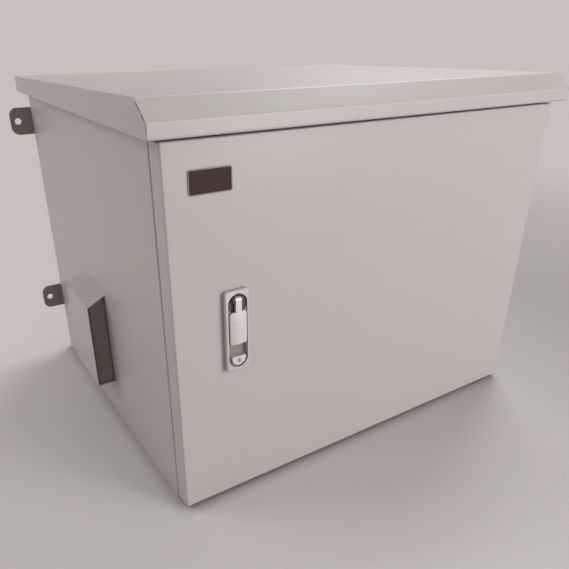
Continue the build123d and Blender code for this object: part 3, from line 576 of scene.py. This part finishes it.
fastener_zinc = make_plated("fastener_zinc", (0.58, 0.58, 0.55, 1), lines=0.00002, matt=0.24)
flats_to_thread = 1.65
head_to_thread = 0.65


def bolts_for(node, outward, mirrored=False):
    """Modelled bolts for a CAD node, as long and as wide as its first part is."""
    length, flats = size_along(node, outward)
    thread = flats / flats_to_thread
    head = thread * head_to_thread
    bolt = model_bolt(thread, head, flats, length - head)
    return set_fasteners(node, bolt, outward, fastener_zinc, mirrored)


bolts_for("fan_screws", (1, 0, 0))
bolts_for("roof_bolts", (0, 0, 1))


# Wall ears
# Flat steel lugs with rounded outer corners and one hole each, painted dark.
# Zinc-plated bolts hold them behind the rear wall, from the inside outwards.
ear_paint = make_finish("ear_paint", powder_coat, Paint=(0.235, 0.208, 0.186, 1), Dust=0.05, Gloss=0.5,
                        Wave=0.0)
for level in ("lower", "upper"):
    for side in ("left", "right"):
        break_edges(f"wall_ear_{level}_{side}", ear_paint, width=0.0007)
bolts_for("ear_bolts", (0, 1, 0))


# Equipment rails and their carriers
# Zinc-coated sheet: four upright angles, punched for nine units, on four channels.
# The channels are welded along the side walls, and bolts and nuts hold the rails to them.
def model_nut(thread, height, flats):
    """Hexagon nut on the origin's plane: outer end chamfered, bore widened at both ends."""
    prism = hexagon_prism(flats, height)
    bore = thread * 0.52
    mouth = thread * 0.58
    widening = height * 0.12
    drill = turned_profile([(0, -height), (mouth, -height), (mouth, 0), (bore, widening),
                            (bore, height - widening), (mouth, height), (mouth, 2 * height),
                            (0, 2 * height)])
    select_only(prism)
    apply_modifier(prism, "BOOLEAN", operation="DIFFERENCE", object=drill, solver="EXACT")
    bpy.data.objects.remove(drill)
    return prism


def nuts_for(node, outward, mirrored=False):
    """Modelled nuts for a CAD node."""
    height, flats = size_along(node, outward)
    nut = model_nut(flats / flats_to_thread, height, flats)
    return set_fasteners(node, nut, outward, fastener_zinc, mirrored)


zinc_sheet = make_plated("zinc_sheet", (0.56, 0.57, 0.58, 1), lines=0.00002, matt=0.3, stretch=(1, 1, 0.2))
for side in ("left", "right"):
    for rail in (f"rack_rail_front_{side}", f"rack_rail_rear_{side}"):
        break_edges(rail, zinc_sheet, width=0.0002, segments=1)
    for carrier in (f"rail_carrier_lower_{side}", f"rail_carrier_upper_{side}"):
        break_edges(carrier, zinc_sheet, segments=2)
bolts_for("rail_bolts", (-1, 0, 0), mirrored=True)
nuts_for("rail_nuts", (-1, 0, 0), mirrored=True)


# Cable entry
# Zinc-coated plate on a rubber gasket, screwed over the opening in the floor.
# Two moulded rubber grommets sit in its holes, each with a rim on both sides and a stepped collar.
rubber = make_finish("rubber", moulded, Tone=(0.014, 0.014, 0.014, 1), Grain=700.0, Depth=0.00003, Matt=0.55)
break_edges("gland_plate", zinc_sheet)
break_edges("gland_gasket", rubber, width=0.0005)
grommet_low, grommet_high = parts_of("cable_grommets")[0]
rim = (grommet_high.x - grommet_low.x) / 2
top = grommet_high.z - grommet_low.z
bore = 0.016
rim_reach = 0.005
neck = rim - rim_reach
lip = 0.0025
round_over = 0.0009
collar = 0.008
collar_steps = 4
collar_wall = 0.002
step_in = 0.0004
step_down = 0.0006
mouth_in = 0.0005
mouth_down = 0.0008
upper = top - collar
profile = [(bore, round_over), (bore + round_over, 0), (rim - round_over, 0), (rim, round_over), (rim, lip),
           (neck, lip), (neck, upper - lip), (rim, upper - lip), (rim, upper - round_over),
           (rim - round_over, upper), (neck, upper)]
for step in range(1, collar_steps + 1):
    radius = neck - (neck - bore - collar_wall) * step / collar_steps
    height = upper + collar * step / collar_steps
    profile += [(radius + step_in, height - step_down), (radius, height)]
profile += [(bore + mouth_in, top), (bore, top - mouth_down), (bore, round_over)]
set_fasteners("cable_grommets", turned_profile(profile, steps=48), (0, 0, 1), rubber)
bolts_for("gland_screws", (0, 0, -1))


# Earth studs
# Threaded steel studs welded to the floor and to the door, zinc plated.
# Each has a nut, which clamps the earth wire.
def stud_for(node, outward):
    """Modelled threaded stud for a CAD node."""
    length, width = size_along(node, outward)
    plain = length * 0.1
    stud = turned_profile([(0, 0), (width / 2, 0)] + threaded(width / 2, plain, length) + [(0, length)])
    return set_fasteners(node, stud, outward, fastener_zinc)


stud_for("body_earth_stud", (0, 0, 1))
nuts_for("body_earth_nut", (0, 0, 1))
stud_for("door_earth_stud", (0, 1, 0))
nuts_for("door_earth_nut", (0, 1, 0))


# Hinges
# Bright steel leaves in the gutter behind the door's right edge, turning on loose steel pins.
# The fixed leaf is welded to the body's seal lip and the moving leaf to the door's return.
hinge_steel = make_plated("hinge_steel", (0.5, 0.5, 0.5, 1), lines=0.00002, matt=0.32, stretch=(1, 1, 0.3))
for level in ("lower", "upper"):
    break_edges(f"hinge_body_leaf_{level}", hinge_steel)
    break_edges(f"hinge_door_leaf_{level}", hinge_steel)
break_edges("hinge_pins", hinge_steel, width=0.0004)


# Door with its stiffeners and gasket
# A pan folded from one sheet and painted like the body, with zinc-coated hat channels welded inside.
# The seal is foamed on in one ring that meets the body's seal lips.
break_edges("door_panel", shell_paint, segments=2)
for side in ("lock_side", "hinge_side"):
    break_edges(f"door_stiffener_{side}", zinc_sheet, segments=2)
break_edges("door_gasket", rubber, width=0.0018, segments=4)


# Nameplate
# Thin anodised metal plate, dark and bare, with a raised rim that is a little brighter.
# It is stuck to the door above the lock.
plate_dark = make_plated("plate_dark", (0.047, 0.035, 0.031, 1), lines=0.00001, matt=0.4, stretch=(1, 1, 12))
plate_rim = make_plated("plate_rim", (0.22, 0.19, 0.17, 1), lines=0.00001, matt=0.34, stretch=(12, 1, 1))
rim_step = 0.00045
nameplate = break_edges("nameplate", plate_dark, width=0.00012, segments=2)
nameplate.data.materials.append(plate_rim)
rim_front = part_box("nameplate")[0].y
for face in nameplate.data.polygons:
    if face.center.y < rim_front + rim_step / 2 or abs(face.normal.y) < 0.9:
        face.material_index = 1


# Lock
# Die-cast body and lift-and-turn handle in satin chrome, with a push button and a key barrel below.
# The body's pocket and the rotor in it are coloured darker than the satin, as painted shade in the recess.
# Screws through a clamp hold it from behind the door.
lock_satin = make_plated("lock_satin", (0.66, 0.638, 0.625, 1), lines=0.00001, matt=0.5, stretch=(1, 1, 0.3))
# Painted highlight: the handle and the push button get a lighter copy of the body's satin.
handle_satin_painted_light = make_plated("handle_satin_painted_light", (0.79, 0.767, 0.753, 1), lines=0.00001, matt=0.56,
                           stretch=(1, 1, 0.3))
# Painted shade: the pocket's floor and the rotor are coloured dark, so the recess reads as shaded.
pocket_painted_shade = make_plated("pocket_painted_shade", (0.36, 0.335, 0.31, 1), lines=0.00003, matt=0.55)
rotor_painted_shade = make_plated("rotor_painted_shade", (0.2, 0.175, 0.155, 1), lines=0.00003, matt=0.6)
lock_zinc = make_plated("lock_zinc", (0.5, 0.5, 0.48, 1), lines=0.00003, matt=0.34)
key_nickel = make_plated("key_nickel", (0.62, 0.59, 0.54, 1), lines=0.00001, matt=0.36)
for node in ("lock_handle", "lock_button"):
    break_edges(node, handle_satin_painted_light)
lock_body = break_edges("lock_body", lock_satin)
lock_body.data.materials.append(pocket_painted_shade)
frame_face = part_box("lock_body")[0].y
pocket_from = 0.001
# The pocket's faces behind the frame take the painted shade.
for face in lock_body.data.polygons:
    if face.normal.y < -0.9 and face.center.y > frame_face + pocket_from:
        face.material_index = 1
break_edges("lock_rotor", rotor_painted_shade)
break_edges("key_barrel", key_nickel, width=0.0002)
for node in ("lock_clamp", "lock_tongue", "tongue_screw"):
    break_edges(node, lock_zinc)
break_edges("lever_pin", lock_zinc, width=0.0002)
bolts_for("lock_screws", (0, -1, 0))
break_edges("lock_pad", rubber, width=0.0002, segments=2)


# Floor and backdrop
# A pale floor with painted light and shade: lighter to the left and darker to the right, and a painted
# contact shadow where the cabinet's base comes close to it.
# It fades with distance into the plain pale wall behind, so that no line shows where they meet.
even_shade = (0.575, 0.525, 0.51, 1)
floor_lit_left = (0.67, 0.64, 0.624, 1)
floor_shaded_right = (0.32, 0.3, 0.292, 1)
floor_contact_shade = (0.36, 0.328, 0.3, 1)
wall_paint = (0.62, 0.59, 0.575, 1)


def direct_sight(tree):
    """1 for what the camera sees, also in gloss or through glass, and 0 for light that falls on things."""
    path = add(tree, "ShaderNodeLightPath").outputs
    rays = calculate(tree, "ADD", path["Is Camera Ray"], path["Is Glossy Ray"], use_clamp=True)
    return calculate(tree, "ADD", rays, path["Is Transmission Ray"], use_clamp=True)


def show_evenly(tree, shader, share):
    """Where share is 1, the camera and the glossy paint see one even shade instead of the lit surface."""
    seen = calculate(tree, "MULTIPLY", direct_sight(tree), share)
    even = add(tree, "ShaderNodeEmission", Color=even_shade, Strength=1.0)
    mix = add(tree, "ShaderNodeMixShader", Fac=seen)
    tree.links.new(shader.outputs["BSDF"], mix.inputs[1])
    tree.links.new(even.outputs["Emission"], mix.inputs[2])
    tree.links.new(mix.outputs["Shader"], tree.nodes["Material Output"].inputs["Surface"])


def make_floor():
    material, tree, shader = new_material("pale_floor")
    place = add(tree, "ShaderNodeTexCoord").outputs["Object"]
    across = add(tree, "ShaderNodeSeparateXYZ", Vector=place).outputs["X"]
    rightward = ramp(tree, across, -0.5, 0.75, interpolation_type="SMOOTHSTEP")
    # Painted contact shadow: the floor is darkened where ambient occlusion finds the cabinet close.
    openness = add(tree, "ShaderNodeAmbientOcclusion", Distance=0.02, samples=12).outputs["AO"]
    # Painted light and shade: the floor's colour runs lighter to the left and darker to the right.
    lit_shade = shade_between(tree, rightward, floor_lit_left, floor_shaded_right)
    feed(tree, shade_between(tree, ramp(tree, openness, 0.35, 1.0), floor_contact_shade, lit_shade),
         shader.inputs["Base Color"])
    shader.inputs["Roughness"].default_value = 0.5
    distance = add(tree, "ShaderNodeVectorMath", operation="LENGTH", Vector=place).outputs["Value"]
    show_evenly(tree, shader, ramp(tree, distance, 0.8, 2.2, interpolation_type="SMOOTHSTEP"))
    return material


def make_backdrop():
    material, tree, shader = new_material("pale_wall")
    shader.inputs["Base Color"].default_value = wall_paint
    shader.inputs["Roughness"].default_value = 0.8
    show_evenly(tree, shader, 1.0)
    return material


def add_stage_plane(name, size, location, rotation, material):
    select_only()
    bpy.ops.mesh.primitive_plane_add(size=size, location=location, rotation=rotation)
    plane = bpy.context.object
    plane.name = name
    plane.data.materials.append(material)


add_stage_plane("floor", 12, (0, 0, 0), (0, 0, 0), make_floor())
add_stage_plane("wall", 12, (1.5, 4.2, 0), (math.radians(90), 0, math.radians(-33)), make_backdrop())


# Light
# A large soft window at the right front, a small low one that puts a sheen on the door and the lip,
# a weak window behind the left side, a soft ceiling light, and an even pale sky.
lamp_white = (1, 0.985, 0.97)


def add_area_light(name, location, target, size, power):
    data = bpy.data.lights.new(name, "AREA")
    data.shape = "RECTANGLE"
    data.size, data.size_y = size
    data.energy = power
    data.color = lamp_white
    light = bpy.data.objects.new(name, data)
    light.location = location
    light.rotation_euler = (Vector(target) - Vector(location)).to_track_quat("-Z", "Y").to_euler()
    bpy.context.scene.collection.objects.link(light)


add_area_light("window", (1.8, -2.9, 1.2), target=(0, 0, 0.25), size=(2.2, 1.6), power=60)
add_area_light("low_window", (0.72, -1.8, 0.48), target=(-0.1, -0.27, 0.42), size=(0.3, 0.6), power=5.5)
add_area_light("side_window", (-2.4, 1.6, 2.0), target=(0, 0, 0.25), size=(1.6, 1.4), power=27)
add_area_light("ceiling", (1.85, 1.25, 2.5), target=(0, 0, 0.2), size=(2.0, 1.6), power=52)
world = bpy.data.worlds.new("pale_sky")
world.use_nodes = True
sky = world.node_tree
lit_sky = sky.nodes["Background"]
lit_sky.inputs["Color"].default_value = (1, 0.97, 0.955, 1)
lit_sky.inputs["Strength"].default_value = 0.45
seen_sky = add(sky, "ShaderNodeBackground", Color=even_shade, Strength=1.0)
sky_mix = add(sky, "ShaderNodeMixShader", Fac=direct_sight(sky))
sky.links.new(lit_sky.outputs["Background"], sky_mix.inputs[1])
sky.links.new(seen_sky.outputs["Background"], sky_mix.inputs[2])
sky.links.new(sky_mix.outputs["Shader"], sky.nodes["World Output"].inputs["Surface"])
bpy.context.scene.world = world
bpy.context.scene.view_settings.view_transform = "Standard"


# Camera
# At the photograph's viewing angle: left of the door and above it, rolled by a fraction of a degree.
# Its place, lens and shift come from a fit to the cabinet's edges.
camera_place = Vector((-0.5159, -0.7905, 0.5506))
camera_turn = 0.577
camera_tilt = 0.472
camera_roll = 0.004
camera_data = bpy.data.cameras.new("camera")
camera_data.sensor_width = 36.0
camera_data.lens = 36.90
camera_data.shift_x = 0.0268
camera_data.shift_y = 0.0691
camera = bpy.data.objects.new("camera", camera_data)
camera.matrix_world = (Matrix.Translation(camera_place)
                       @ Matrix.Rotation(-camera_turn, 4, "Z")
                       @ Matrix.Rotation(math.radians(90) - camera_tilt, 4, "X")
                       @ Matrix.Rotation(camera_roll, 4, "Z"))
bpy.context.scene.collection.objects.link(camera)
bpy.context.scene.camera = camera
